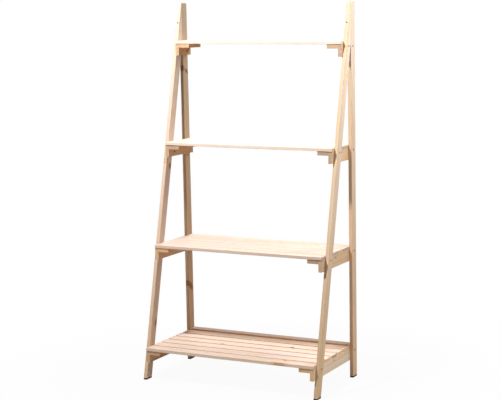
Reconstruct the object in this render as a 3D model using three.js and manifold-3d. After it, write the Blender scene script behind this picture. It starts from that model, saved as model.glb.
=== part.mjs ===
// Plant ladder stand: two A-shaped side frames of planed pine carry four slatted tiers.
// Millimetres, +Z up, the front towards -Y. The origin is at floor level, centred under the stand.

import * as THREE from 'three';
import * as BufferGeometryUtils from 'three/addons/utils/BufferGeometryUtils.js';
import Module from 'manifold-3d';

const wasm = await Module();
wasm.setup();

// Overall sizes
const WIDTH = 750; // over the legs' outer faces
const HEIGHT = 1486; // floor to the top of the side frames
const BASE_DEPTH = 410; // front foot's front edge to rear foot's rear edge, on the floor
const REAR_SET_FORWARD = 36; // how far the rear leg's top stands in front of its foot

// Timber sections
const LEG_WIDTH = 41;
const LEG_THICKNESS = 14;
const RAIL_HEIGHT = 47;
const RAIL_THICKNESS = 15;
const BATTEN_WIDTH = 46;
const BATTEN_THICKNESS = 16;
const SLAT_WIDTH = 50;
const SLAT_THICKNESS = 12;
const BACK_RAIL_WIDTH = 40;
const BACK_RAIL_THICKNESS = 16;
const EASE = 1.2; // eased edge on every board
const EASE_STEPS = 2;

// Side frames
const TIP = 4; // what is left of the front leg's width at its cut top end
const PAD_THICKNESS = 4.5;
const PAD_EASE = 0.8;

// Tiers, from the bottom up
const LOWEST_DECK = 130; // top of the bottom deck
const TIER_SPACING = 402; // from one deck's top to the next
const TIER_NOSES = [29, 36, 28, 22]; // how far each deck stands out in front of the front legs
const RAIL_SETBACK = 3; // rails and battens end behind the deck's front edge
const LEAST_SLAT_GAP = 2.5;
const LEAST_BOTTOM_SLAT_GAP = 9; // the bottom deck is laid more openly

// Screws
const SCREW_COVER = 4; // wood left in the rail beyond a screw's tip
const SCREW_RADIUS = 2;
const SCREW_TIP_LENGTH = 5;
const HEAD_RADIUS = 4;
const HEAD_HEIGHT = 2.6;
const HEAD_SINK = 0.4; // the head's top below the leg's face
const SCREW_DROP = 8; // screw centre below the rail's top edge
const FRONT_SCREW_SHARE = 0.63; // across the front leg between its edge walls, from the front
const REAR_SCREW_SHARE = 0.5;
const EDGE_WALL = 0.5; // least wood between a screw head's hole and a leg's edge
const HOLE_MOUTH = 2; // how far a hole's cutter starts outside the head's top
const ROUND_STEPS = 16;

// Clearances
const SEAT_GAP = 0.05; // between flat faces that rest on each other
const CUT_GAP = 0.3; // between the front leg's angled cut and the rear leg
const HOLE_GAP = 0.3; // around and ahead of a screw in its hole

// Places worked out from the sizes above
const FRONT_FOOT_Y = -BASE_DEPTH / 2;
const REAR_FOOT_Y = BASE_DEPTH / 2;
const LEG_INNER_X = WIDTH / 2 - LEG_THICKNESS;
const SCREW_LENGTH = LEG_THICKNESS + RAIL_THICKNESS - HEAD_SINK - SCREW_COVER;
const REAR_LEAN = Math.atan(REAR_SET_FORWARD / HEIGHT);
const REAR_LEG_SPAN = LEG_WIDTH / Math.cos(REAR_LEAN);
const FRONT_TIP_Y = REAR_FOOT_Y - REAR_LEG_SPAN - REAR_SET_FORWARD - TIP;
const FRONT_RAKE = Math.atan((FRONT_TIP_Y - FRONT_FOOT_Y) / HEIGHT);
const FRONT_LEG_SPAN = LEG_WIDTH / Math.cos(FRONT_RAKE);

const SCREW_EDGE = HEAD_RADIUS + HOLE_GAP + EDGE_WALL;

const frontEdgeY = (z) => FRONT_FOOT_Y + z * Math.tan(FRONT_RAKE);
const rearLegFrontY = (z) => REAR_FOOT_Y - REAR_LEG_SPAN - z * Math.tan(REAR_LEAN);
const rearEdgeY = (z) => REAR_FOOT_Y - z * Math.tan(REAR_LEAN);

// Near its top the front leg gets narrower along its angled cut.
function frontLegWidth(z) {
  return Math.min(FRONT_LEG_SPAN, rearLegFrontY(z) - CUT_GAP - frontEdgeY(z));
}

const acrossLeg = (frontY, width, share) => frontY + SCREW_EDGE + share * (width - 2 * SCREW_EDGE);

const pine = (color) => new THREE.MeshStandardMaterial({ color, roughness: 0.6, metalness: 0 });
const materials = {
  leg: pine(0xe6c9a0),
  rail: pine(0xd9b78c),
  batten: pine(0xcfa97c),
  slat: pine(0xf3dfc4),
  pad: new THREE.MeshStandardMaterial({ color: 0x1b1b1b, roughness: 0.8, metalness: 0 }),
  screw: new THREE.MeshStandardMaterial({ color: 0x8a7f72, roughness: 0.4, metalness: 0.9 }),
};

const stand = new THREE.Group();

function addMesh(name, geometry, material, x = 0, y = 0, z = 0) {
  const mesh = new THREE.Mesh(geometry, material);
  mesh.name = name;
  mesh.position.set(x, y, z);
  stand.add(mesh);
}

// A flat board: its outline in the XY plane, its thickness along Z from 0 up, all edges eased.
function board(points, thickness, ease = EASE) {
  const edge = Math.min(ease, thickness / 4);
  const outline = new THREE.Shape(points.map(([x, y]) => new THREE.Vector2(x, y)));
  return new THREE.ExtrudeGeometry(outline, {
    depth: thickness - 2 * edge,
    steps: 1,
    bevelEnabled: true,
    bevelThickness: edge,
    bevelSize: edge,
    bevelOffset: -edge,
    bevelSegments: EASE_STEPS,
  }).translate(0, 0, edge);
}

const rectangle = (x0, y0, x1, y1) => [[x0, y0], [x1, y0], [x1, y1], [x0, y1]];

// Turns a board so that its outline lies in the YZ plane and its thickness runs along X.
function uprightBoard(points, thickness) {
  const turn = new THREE.Matrix4().makeBasis(
    new THREE.Vector3(0, 1, 0),
    new THREE.Vector3(0, 0, 1),
    new THREE.Vector3(1, 0, 0),
  );
  return board(points, thickness).applyMatrix4(turn);
}

function toSolid(geometry) {
  const bare = geometry.clone();
  bare.deleteAttribute('normal');
  bare.deleteAttribute('uv');
  const merged = BufferGeometryUtils.mergeVertices(bare, 1e-5);
  return new wasm.Manifold(new wasm.Mesh({
    numProp: 3,
    vertProperties: new Float32Array(merged.attributes.position.array),
    triVerts: new Uint32Array(merged.index.array),
  }));
}

function toGeometry(solid) {
  const mesh = solid.getMesh();
  const geometry = new THREE.BufferGeometry();
  geometry.setAttribute('position', new THREE.BufferAttribute(mesh.vertProperties, 3));
  geometry.setIndex(new THREE.BufferAttribute(mesh.triVerts, 1));
  return geometry;
}

function cut(geometry, holes) {
  let solid = toSolid(geometry);
  for (const hole of holes) solid = solid.subtract(toSolid(hole));
  return toGeometry(solid);
}

// A turned solid along X: the profile gives [distance along X, radius], from axis to axis.
function turned(profile) {
  const points = profile.map(([along, radius]) => new THREE.Vector2(radius, along));
  return new THREE.LatheGeometry(points, ROUND_STEPS).rotateZ(-Math.PI / 2);
}

// A countersunk screw pointing along +X, its head's top at x = 0.
const screwShape = () => turned([
  [0, 0],
  [0, HEAD_RADIUS],
  [HEAD_HEIGHT, SCREW_RADIUS],
  [SCREW_LENGTH - SCREW_TIP_LENGTH, SCREW_RADIUS],
  [SCREW_LENGTH, 0],
]);

// The hole that the same screw needs, open to the outside at its head.
const screwHole = () => turned([
  [-HOLE_MOUTH, 0],
  [-HOLE_MOUTH, HEAD_RADIUS + HOLE_GAP],
  [0, HEAD_RADIUS + HOLE_GAP],
  [HEAD_HEIGHT, SCREW_RADIUS + HOLE_GAP],
  [SCREW_LENGTH + HOLE_GAP, SCREW_RADIUS + HOLE_GAP],
  [SCREW_LENGTH + HOLE_GAP, 0],
]);

// Front edge, rear edge and fixing places of each tier
const tiers = TIER_NOSES.map((nose, index) => {
  const top = LOWEST_DECK + index * TIER_SPACING;
  const railTop = top - SLAT_THICKNESS - SEAT_GAP;
  const screwZ = railTop - SCREW_DROP;
  return {
    number: index + 1,
    top,
    railTop,
    screwZ,
    front: frontEdgeY(top) - nose,
    rear: rearEdgeY(top),
    screws: {
      front: acrossLeg(frontEdgeY(screwZ), frontLegWidth(screwZ), FRONT_SCREW_SHARE),
      rear: acrossLeg(rearLegFrontY(screwZ), REAR_LEG_SPAN, REAR_SCREW_SHARE),
    },
  };
});

const sides = [
  { name: 'left', sign: -1 },
  { name: 'right', sign: 1 },
];

// A screw or its hole on one side of the stand, driven from the leg's outer face towards the middle.
function placedAtScrew(shape, side, tier, leg) {
  const inward = side.sign > 0 ? shape.rotateZ(Math.PI) : shape;
  return inward.translate(side.sign * (WIDTH / 2 - HEAD_SINK), tier.screws[leg], tier.screwZ);
}

const legHoles = (side, leg) => tiers.map((tier) => placedAtScrew(screwHole(), side, tier, leg));

function addLegs(side) {
  const outlines = {
    front: [
      [frontEdgeY(PAD_THICKNESS), PAD_THICKNESS],
      [frontEdgeY(PAD_THICKNESS) + FRONT_LEG_SPAN, PAD_THICKNESS],
      crotch(),
      [rearLegFrontY(HEIGHT) - CUT_GAP, HEIGHT],
      [frontEdgeY(HEIGHT), HEIGHT],
    ],
    rear: [
      [rearLegFrontY(PAD_THICKNESS), PAD_THICKNESS],
      [rearEdgeY(PAD_THICKNESS), PAD_THICKNESS],
      [rearEdgeY(HEIGHT), HEIGHT],
      [rearLegFrontY(HEIGHT), HEIGHT],
    ],
  };
  const innerX = side.sign > 0 ? LEG_INNER_X : -WIDTH / 2;
  for (const leg of ['front', 'rear']) {
    const blank = uprightBoard(outlines[leg], LEG_THICKNESS).translate(innerX, 0, 0);
    addMesh(`${leg}_leg_${side.name}`, cut(blank, legHoles(side, leg)), materials.leg);
  }
}

// Where the front leg's rear edge runs into its angled cut along the rear leg.
function crotch() {
  const startGap = rearLegFrontY(0) - CUT_GAP - (FRONT_FOOT_Y + FRONT_LEG_SPAN);
  const z = startGap / (Math.tan(FRONT_RAKE) + Math.tan(REAR_LEAN));
  return [rearLegFrontY(z) - CUT_GAP, z];
}

function addPads(side) {
  const innerX = side.sign > 0 ? LEG_INNER_X : -WIDTH / 2;
  const spans = {
    front: [frontEdgeY(PAD_THICKNESS), frontEdgeY(PAD_THICKNESS) + FRONT_LEG_SPAN],
    rear: [rearLegFrontY(PAD_THICKNESS), rearEdgeY(PAD_THICKNESS)],
  };
  for (const [leg, [y0, y1]] of Object.entries(spans)) {
    const outline = rectangle(innerX, y0, innerX + LEG_THICKNESS, y1);
    const pad = board(outline, PAD_THICKNESS - SEAT_GAP, PAD_EASE);
    addMesh(`foot_pad_${leg}_${side.name}`, pad, materials.pad);
  }
}

// The side rail stands on edge against both legs; the batten lies flat against its inside.
function addRailAndBatten(side, tier) {
  const front = tier.front + RAIL_SETBACK;
  const bottom = tier.railTop - RAIL_HEIGHT;
  const railX = side.sign > 0 ? LEG_INNER_X - SEAT_GAP - RAIL_THICKNESS : -LEG_INNER_X + SEAT_GAP;
  const railOutline = rectangle(front, bottom, tier.rear, tier.railTop);
  const rail = uprightBoard(railOutline, RAIL_THICKNESS).translate(railX, 0, 0);
  const holes = ['front', 'rear'].map((leg) => placedAtScrew(screwHole(), side, tier, leg));
  addMesh(`side_rail_${tier.number}_${side.name}`, cut(rail, holes), materials.rail);

  const battenOuter = LEG_INNER_X - RAIL_THICKNESS - 2 * SEAT_GAP;
  const battenX = side.sign > 0 ? battenOuter - BATTEN_WIDTH : -battenOuter;
  const battenOutline = rectangle(battenX, front, battenX + BATTEN_WIDTH, tier.rear);
  const batten = board(battenOutline, BATTEN_THICKNESS);
  const battenZ = tier.railTop - BATTEN_THICKNESS;
  addMesh(`batten_${tier.number}_${side.name}`, batten, materials.batten, 0, 0, battenZ);
}

// A row of slats from a front edge towards the rear.
function addSlatRow(tier, front, count, step) {
  const halfLength = LEG_INNER_X - SEAT_GAP;
  for (let i = 0; i < count; i += 1) {
    const slat = board(rectangle(-halfLength, 0, halfLength, SLAT_WIDTH), SLAT_THICKNESS);
    const y = front + i * step;
    addMesh(`slat_${tier.number}_${i + 1}`, slat, materials.slat, 0, y, tier.top - SLAT_THICKNESS);
  }
}

// Slats fill the depth of a tier, evenly spaced from its front edge to its rear edge.
// Where only one fits, it lies in the middle.
function addSlats(tier) {
  const spare = tier.rear - tier.front - SLAT_WIDTH;
  const gaps = Math.max(0, Math.floor(spare / (SLAT_WIDTH + LEAST_SLAT_GAP)));
  if (gaps > 0) addSlatRow(tier, tier.front, gaps + 1, spare / gaps);
  else addSlatRow(tier, tier.front + spare / 2, 1, 0);
}

// The bottom tier's slats stop in front of the rear legs, where the back rail lies between them.
function addBottomTierBack(tier) {
  const railFront = rearLegFrontY(tier.top);
  const halfLength = LEG_INNER_X - SEAT_GAP;
  const outline = rectangle(-halfLength, 0, halfLength, BACK_RAIL_WIDTH);
  const backRail = board(outline, BACK_RAIL_THICKNESS);
  addMesh('back_rail', backRail, materials.slat, 0, railFront, tier.railTop + SEAT_GAP);
  const depth = railFront - tier.front;
  const count = Math.max(1, Math.floor(depth / (SLAT_WIDTH + LEAST_BOTTOM_SLAT_GAP)));
  addSlatRow(tier, tier.front, count, depth / count);
}

for (const side of sides) {
  addLegs(side);
  addPads(side);
  for (const tier of tiers) {
    addRailAndBatten(side, tier);
    for (const leg of ['front', 'rear']) {
      const screw = placedAtScrew(screwShape(), side, tier, leg);
      addMesh(`screw_${tier.number}_${leg}_${side.name}`, screw, materials.screw);
    }
  }
}

for (const tier of tiers) {
  if (tier.number === 1) addBottomTierBack(tier);
  else addSlats(tier);
}

export default stand;
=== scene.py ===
import math

import bpy
import numpy as np
from mathutils import Matrix, Vector


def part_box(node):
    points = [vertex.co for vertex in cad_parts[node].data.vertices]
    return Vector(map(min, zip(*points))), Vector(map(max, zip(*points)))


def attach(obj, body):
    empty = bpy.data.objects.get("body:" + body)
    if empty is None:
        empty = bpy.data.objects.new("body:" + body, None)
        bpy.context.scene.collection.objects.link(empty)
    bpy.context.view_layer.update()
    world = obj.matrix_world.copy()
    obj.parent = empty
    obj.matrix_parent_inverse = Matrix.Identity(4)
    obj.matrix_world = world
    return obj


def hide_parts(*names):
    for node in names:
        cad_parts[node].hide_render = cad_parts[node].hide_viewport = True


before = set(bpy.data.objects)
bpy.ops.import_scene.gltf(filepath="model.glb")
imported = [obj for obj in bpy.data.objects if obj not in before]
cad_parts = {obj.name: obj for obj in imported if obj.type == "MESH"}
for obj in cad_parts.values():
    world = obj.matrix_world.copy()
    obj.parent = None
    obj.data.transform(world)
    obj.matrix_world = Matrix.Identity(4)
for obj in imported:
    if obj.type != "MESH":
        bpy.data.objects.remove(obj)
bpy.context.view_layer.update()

bl_info = {
    "name": "Plant ladder stand",
    "version": (1, 0, 0),
    "blender": (4, 5, 0),
    "location": "3D View > Sidebar > Stand",
    "description": "Builds the timbers, fixings and finish of a four-tier plant ladder stand",
    "category": "Add Mesh",
}

MM = 0.001
X, Y, Z = 0, 1, 2
SIDES = {"left": -1.0, "right": 1.0}
FEET = ("front", "rear")
TIERS = (1, 2, 3, 4)
SLATS_IN_TIER = {1: 6, 2: 6, 3: 4, 4: 2}

# How finely the surfaces are sampled
CORNER_STEPS = 4
END_STEPS = 3
SUPPORT = 0.25 * MM
STATION = 30 * MM
KINK_STEP = 1.5 * MM
ROUND_STEPS = 40
HOLE_STEPS = 32
HOLE_OVERRUN = 2 * MM
SHARP_ANGLE = math.radians(35)
FACES_ALONG = 0.8  # least share of a face's normal along an axis that it is said to face

# A screw's head in shares of its radius: its flat part, then the cross's half arm, the slope of
# its walls, its reach and the length over which it fades
HEAD_FLAT = 0.95
CROSS_ARM, CROSS_WALL, CROSS_REACH, CROSS_FADE = 0.20, 0.09, 0.66, 0.30

# Tiers with a screw from the side rail into the batten: its share of the rail's length
BATTEN_SCREW_SHARES = {1: 0.50, 2: 0.433, 3: 0.47}

# Where timbers show a knot: place on the timber, half width, stretch, turn of its long axis
# from the grain towards the timber's width in degrees, and strength. Its branch ran through the
# timber's thickness. A weak knot is a golden patch, a strong one dark brown.
KNOTS = {
    "rear_leg_left": (
        ((-0.361, 0.1600, 1.2110), 5.5 * MM, 2.6, -52, 0.90),
        # The knot below, at the rear leg's front edge, is partly a painted shadow: that face lies
        # dark in the narrow gap behind the front leg
        ((-0.361, 0.1365, 1.2230), 3.2 * MM, 3.4, 0, 0.95),
        ((-0.361, 0.1700, 0.3170), 9.5 * MM, 2.4, -45, 1.00),
        ((-0.361, 0.1720, 0.3150), 9.0 * MM, 4.5, -45, 0.65),
    ),
    "front_leg_left": (
        ((-0.361, 0.0115, 0.8360), 6.5 * MM, 1.8, 0, 1.00),
        ((-0.362, -0.0147, 0.8590), 9.0 * MM, 1.4, 0, 0.35),
        ((-0.361, -0.1245, 0.2170), 5.5 * MM, 1.9, 0, 0.85),
        ((-0.361, -0.1225, 0.2170), 6.0 * MM, 5.0, 0, 0.40),
    ),
    "front_leg_right": (((0.361, 0.0900, 1.1800), 3.0 * MM, 1.5, 0, 0.40),),
    # On side_rail_4_left a dark red patch is drawn as a knot
    "side_rail_4_left": (((-0.346, 0.1452, 1.2940), 6.0 * MM, 1.6, 30, 0.75),),
    "side_rail_3_left": (((-0.346, 0.0238, 0.8926), 4.0 * MM, 2.0, 0, 0.90),),
    "slat_1_1": (
        ((0.2272, -0.1640, 0.1300), 7.0 * MM, 1.2, 0, 0.65),
        ((0.2180, -0.2020, 0.1300), 6.0 * MM, 5.0, 0, 0.50),
        ((-0.2150, -0.1800, 0.1300), 3.5 * MM, 1.5, 0, 0.50),
    ),
    "slat_1_4": (((-0.1200, -0.0120, 0.1300), 5.0 * MM, 1.5, 0, 0.60),),
    "slat_1_5": (((0.1650, 0.0430, 0.1300), 6.5 * MM, 1.2, 0, 0.75),),
    "slat_2_5": (((0.0110, 0.1300, 0.5320), 5.0 * MM, 1.6, 0, 0.30),),
}
KNOT_NAMES = ("knot_a", "knot_b", "knot_c", "knot_d")

# Red, green and blue of the timbers over the pine's own colour: for the legs at the foot and at
# the top, for the others by the piece's name or else by the kind and the side or tier. The legs'
# tints hold painted light: each leg goes from a darker, warmer foot to a paler top as the light
# falls off down it, and the rear left leg is darker with painted shade.
LEG_TINTS_WITH_PAINTED_LIGHT = {
    "front_leg_left": ((0.97, 0.98, 1.08), (1.02, 1.14, 1.50)),
    "rear_leg_left": ((0.75, 0.65, 0.63), (0.80, 0.88, 0.97)),
    "front_leg_right": ((0.92, 0.89, 0.82), (1.06, 1.21, 1.52)),
    "rear_leg_right": ((1.01, 0.92, 0.91), (0.85, 0.96, 1.10)),
}
# Painted shade and light among these: the left rails and battens, whose faces in view are turned
# away from the light, are darker with painted shade, and slat_1_6 is paler with painted light where
# the deck above shades it.
TINTS_WITH_PAINTED_SHADE = {
    "rails_left": (0.86, 0.73, 0.63),
    "rails_right": (0.92, 0.85, 0.76),
    "side_rail_1_right": (1.12, 1.18, 1.24),
    "battens_left": (0.80, 0.66, 0.54),
    "battens_right": (0.92, 0.84, 0.76),
    "slats_1": (0.96, 0.965, 1.01),
    "slat_1_6": (1.14, 1.10, 1.10),
    "slats_2": (0.88, 0.88, 0.92),
    "slats_3": (0.99, 1.04, 1.13),
    "slats_4": (0.99, 1.04, 1.13),
    "back_rail": (0.90, 0.88, 0.94),
}
OWN_BRIGHTNESS, OWN_WARMTH = 0.025, 0.05

# Marks of the timbers' edge faces. The plain mark gives the edge tint, partly the edge grain's
# own warmer colour and partly painted shade. Above the plain mark the painted warm shade of the
# gaps between slats comes in, then the painted light on the back rail's front edge.
DECK_FRONT_EDGE, PLAIN_EDGE, GAP_PAINTED_SHADE_MARK, BACK_RAIL_PAINTED_LIGHT_MARK = 0.3, 1.0, 2.0, 3.0

# Where a timber lies in its log: along it, beside the heart, and away from the heart
LOG_REACH, HEART_ASIDE, HEART_NEAR, HEART_FAR = 20.0, 25 * MM, 28 * MM, 75 * MM

# The pine's noises: frequency per metre along and across the grain, detail and roughness
BEND_NOISE, RIPPLE_NOISE, KNOT_NOISE = (1.3, 9.0), (12.0, 110.0), (120.0, 160.0)
BROAD_NOISE, NARROW_NOISE, RESIN_NOISE = (1.2, 32.0), (2.4, 120.0, 3.0), (0.9, 60.0, 3.0)
FIBRE_NOISE, FLECK_NOISE = (70.0, 1700.0, 2.0, 0.6), (45.0, 900.0, 1.0)
RING_BEND, RING_RIPPLE, RING_BEND_AT_KNOT = 22 * MM, 1.6 * MM, 5.0 * MM

# How strongly each part of the pine's figure shows in its colour
LATEWOOD_SHARE, RESIN_SHARE, STAIN_SHARE, PATCH_SHARE = 0.42, 0.8, 0.45, 0.55
HEART_SHARE, RIM_SHARE = 0.9, 0.6
BROAD_STREAKS, NARROW_STREAKS, FIBRES, FLECKS, END_DARKENING = 0.20, 0.32, 0.10, 0.06, 0.20

# Tints that parts of a timber are multiplied by
RESIN_TINT = (1.0, 0.93, 0.72, 1.0)
GOLDEN_END = (1.12, 0.93, 0.68, 1.0)
PALE_END = (0.92, 0.88, 0.92, 1.0)
# Edge faces: partly the edge grain's own warmer colour, partly painted shade
EDGE_GRAIN_AND_SHADE_TINT = (0.99, 0.95, 0.88, 1.0)
# Painted warm shade on the faces in the gaps between slats
GAP_PAINTED_SHADE_TINT = (1.08, 0.98, 0.82, 1.0)
# Painted light on the back rail's front edge, which lies in the shadow of the deck above
BACK_RAIL_PAINTED_LIGHT_TINT = (1.45, 1.38, 1.20, 1.0)
KNOT_RIM = (0.05, 0.018, 0.008, 1.0)
DUST = (0.3, 0.28, 0.25, 1.0)
DULL_STEEL = (0.2, 0.16, 0.11, 1.0)
WHITE = (1.0, 1.0, 1.0, 1.0)

# Where the random draws of each group of pieces start
SEEDS = {"leg": 100, "rail": 200, "batten": 300, "slat": 400, "back_rail": 500,
         "frame_screws": 700, "other_screws": 800}
EDGE_SEED_STEP = 5000


# ---------------------------------------------------------------- sizes and colours

def length(name, text, default):
    """A size property in metres."""
    return bpy.props.FloatProperty(
        name=name, description=text, default=default, min=0.0, unit="LENGTH", precision=5)


def colour(name, text, default):
    """A colour property, given in display values from 0 to 255."""
    linear = [srgb_to_linear(value / 255) for value in default]
    return bpy.props.FloatVectorProperty(
        name=name, description=text, default=linear, min=0.0, max=1.0, size=3, subtype="COLOR")


def srgb_to_linear(value):
    """The display curve undone: a straight foot, then a power of 2.4."""
    return value / 12.92 if value <= 0.04045 else ((value + 0.055) / 1.055) ** 2.4


class StandTimber(bpy.types.PropertyGroup):
    """Sizes of the sawn and planed timbers."""
    edge_rounding: length("Edge rounding", "Mean radius of the long edges", 1.2 * MM)
    end_rounding: length("End rounding", "Radius of the sawn ends' edges", 0.6 * MM)
    tip_width: length("Front leg tip", "Width of the front leg's tip at the top", 4.0 * MM)
    joint_gap: length("Joint gap", "Gap between the front leg's cut and the rear leg", 0.3 * MM)
    pad_rim: length("Pad rim", "Height of the pads above the legs' bottom line", 1.3 * MM)
    pad_corner: length("Pad corner", "Radius of the pads' upright edges", 1.5 * MM)
    pad_rounding: length("Pad rounding", "Radius of the pads' flat edges", 0.6 * MM)
    ring_spacing: length("Ring spacing", "Mean distance between growth rings", 2.4 * MM)


class StandFixings(bpy.types.PropertyGroup):
    """Sizes of the screws."""
    head_radius: length("Head radius", "Radius of a frame screw's head", 4.0 * MM)
    joint_head_radius: length("Joint head radius", "Radius of a joint screw's head", 3.0 * MM)
    batten_head_radius: length("Batten head radius", "Radius of a batten screw's head", 3.4 * MM)
    head_height: length("Head height", "Height of the countersunk cone", 2.6 * MM)
    head_depth: length("Head depth", "Joint and batten screws' heads below the wood", 0.4 * MM)
    cross_depth: length("Cross depth", "Depth of the driver's cross in a head", 1.5 * MM)
    shank_radius: length("Shank radius", "Radius of a screw's shank", 2.0 * MM)
    hole_gap: length("Hole gap", "Room around a screw in its hole", 0.3 * MM)
    joint_screw_height: length("Joint screw height", "Height of the top joint's screws", 1.407)
    joint_screw_length: length("Joint screw length", "Length of the top joint's screws", 0.042)
    batten_screw_drop: length("Batten screw drop", "Batten screws below the deck's top", 0.0225)
    batten_screw_length: length("Batten screw length", "Length of a batten screw", 0.030)


class StandColours(bpy.types.PropertyGroup):
    """Colours of the timber, the pads and the screws."""
    leg: colour("Legs", "Pine of the legs", (222, 194, 164))
    rail: colour("Rails", "Pine of the side rails", (226, 198, 168))
    batten: colour("Battens", "Pine of the battens", (226, 194, 161))
    slat: colour("Slats", "Pine of the slats", (234, 212, 197))
    latewood: colour("Latewood", "The darker part of a growth ring", (200, 158, 116))
    knot: colour("Knots", "Heart of a knot", (96, 52, 28))
    stain: colour("Stain", "Wood round a knot", (196, 142, 88))
    pad: colour("Pads", "Rubber of the foot pads", (9, 9, 9))
    steel: colour("Screws", "Plated steel of the screws", (72, 59, 47))
    floor: colour("Floor", "Floor under the stand", (190, 190, 188))


def power(name, text, default):
    """A lamp's power in watts."""
    return bpy.props.FloatProperty(
        name=name, description=text, default=default, min=0.0, unit="POWER")


class StandLight(bpy.types.PropertyGroup):
    """Strengths of the studio light."""
    key: power("Key", "Power of the lamp above the front", 72.0)
    right: power("Right", "Power of the lamp at the right", 6.3)
    low_right: power("Low right", "Power of the soft lamp low at the right", 8.2)
    back_left: power("Back left", "Power of the lamp behind the left", 18.0)
    back_right: power("Back right", "Power of the lamp behind the right", 14.0)
    ambient: bpy.props.FloatProperty(
        name="Ambient", description="Strength of the even light from all round", default=0.02)


# ---------------------------------------------------------------- surfaces

def waves(places, phases):
    """Slow wander in about -1..1: the mean of three sines of the place along a timber, with wave
    lengths of 0.41, 0.17 and 0.075 m. One column for each column of phases."""
    lengths = np.array([0.41, 0.17, 0.075])
    angles = 2 * np.pi * (places[:, None, None] / lengths[None, :, None] + phases[None, :, :])
    return np.sin(angles).mean(axis=1) * 1.4


def section():
    """A rounded rectangle once round: four quarter circles, each with one more point on the
    straight side before it and after it. Gives the angle, the corner's signs, the shift along
    the side, and the corner's number, for each point."""
    quarter = np.linspace(0, np.pi / 2, CORNER_STEPS + 1)
    quarter = np.concatenate((quarter[:1], quarter, quarter[-1:]))
    shift = np.zeros(len(quarter))
    shift[0], shift[-1] = -1, 1
    corner = np.repeat(np.arange(4), len(quarter))
    angle = np.tile(quarter, 4) + corner * np.pi / 2
    sign_a = np.array([1, -1, -1, 1])[corner]
    sign_b = np.array([1, 1, -1, -1])[corner]
    return angle, sign_a, sign_b, np.tile(shift, 4), corner


def rows_along(start, end, rounding, extra=()):
    """Places of the sections along a timber and how far each is drawn in. At both ends they
    follow a quarter circle of the end rounding: distance from the end r(1 - sin), drawn in
    r(1 - cos)."""
    turn = np.linspace(np.pi / 2, 0, END_STEPS + 1)
    distance = np.concatenate(([0.0], rounding * (1 - np.sin(turn)), [rounding + SUPPORT]))
    drawn_in = np.concatenate(([rounding + SUPPORT], rounding * (1 - np.cos(turn)), [0.0]))
    count = max(2, math.ceil((end - start) / STATION))
    middle = np.linspace(start, end, count + 1)[1:-1]
    middle = np.sort(np.concatenate((middle, np.array(extra, float))))
    places = np.concatenate((start + distance, middle, (end - distance)[::-1]))
    inset = np.concatenate((drawn_in, np.zeros(len(middle)), drawn_in[::-1]))
    return places, inset


def carried(places, inset, centres, halves, radii, order):
    """A rounded rectangle carried along a straight line: at each place the section's corners are
    quarter circles of that place's radii, about points drawn in by the radius from the section's
    half width and half thickness. order names the world axis of the width, thickness and length."""
    angle, sign_a, sign_b, shift, corner = section()
    half_a = halves[0] - inset
    half_b = halves[1] - inset
    limit = 0.45 * np.minimum(half_a, half_b)
    radius = np.minimum(np.maximum(radii - inset[:, None], 0.1 * MM), limit[:, None])[:, corner]
    along_a = sign_a * (half_a[:, None] - radius) + radius * np.cos(angle)
    along_b = sign_b * (half_b[:, None] - radius) + radius * np.sin(angle)
    along_a = along_a - shift * SUPPORT * np.sin(angle) + centres[0][:, None]
    along_b = along_b + shift * SUPPORT * np.cos(angle) + centres[1][:, None]
    points = np.empty((len(places), len(angle), 3))
    points[:, :, order[0]] = along_a
    points[:, :, order[1]] = along_b
    points[:, :, order[2]] = places[:, None]
    return points


def turned(along, radius, steps, ripple=None):
    """A profile turned about an axis: distance along the axis and radius for each ring. ripple
    adds to the distance along for each point. Gives axis-frame points (across, up, along)."""
    angle = np.arange(steps) * 2 * np.pi / steps
    points = np.empty((len(along), steps, 3))
    points[:, :, 0] = radius[:, None] * np.cos(angle)
    points[:, :, 1] = radius[:, None] * np.sin(angle)
    points[:, :, 2] = along[:, None] + (0 if ripple is None else ripple)
    return points


def facing(points, place, direction):
    """Axis-frame points turned so that the axis runs along the direction from the place."""
    forward = np.array(direction, float)
    forward /= np.linalg.norm(forward)
    helper = np.array([0.0, 0.0, 1.0]) if abs(forward[2]) < 0.9 else np.array([1.0, 0.0, 0.0])
    across = np.cross(helper, forward)
    across /= np.linalg.norm(across)
    up = np.cross(forward, across)
    return np.array(place, float) + points @ np.stack([across, up, forward])


def closed_grid(points):
    """Faces of a grid that closes round each row, with a cap on its first and last row."""
    rows, columns = points.shape[:2]
    first = (np.arange(rows - 1) * columns)[:, None]
    here = np.arange(columns)
    following = (here + 1) % columns
    quads = np.stack(
        [first + here, first + following, first + columns + following, first + columns + here],
        axis=-1).reshape(-1, 4)
    caps = [list(range(columns))[::-1], list(range((rows - 1) * columns, rows * columns))]
    corners = points.reshape(-1, 3)
    middle = corners.mean(axis=0)
    a, b, c, d = (corners[quads[:, i]] - middle for i in range(4))
    volume = np.einsum("ij,ij->i", a, np.cross(b, c)).sum()
    volume += np.einsum("ij,ij->i", a, np.cross(c, d)).sum()
    faces = quads.tolist() + caps
    if volume < 0:
        faces = [face[::-1] for face in faces]
    return corners, faces


def new_mesh(name, grids):
    """One mesh from one or more closed grids."""
    corners, faces, count = [], [], 0
    for points in grids:
        part_corners, part_faces = closed_grid(points)
        corners.append(part_corners)
        faces += [[index + count for index in face] for face in part_faces]
        count += len(part_corners)
    mesh = bpy.data.meshes.new(name)
    mesh.from_pydata(np.concatenate(corners).tolist(), [], faces)
    mesh.validate()
    return mesh


def new_piece(name, mesh):
    """An object at the origin, with its place in its mesh."""
    piece = bpy.data.objects.new(name, mesh)
    bpy.context.scene.collection.objects.link(piece)
    return piece


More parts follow.
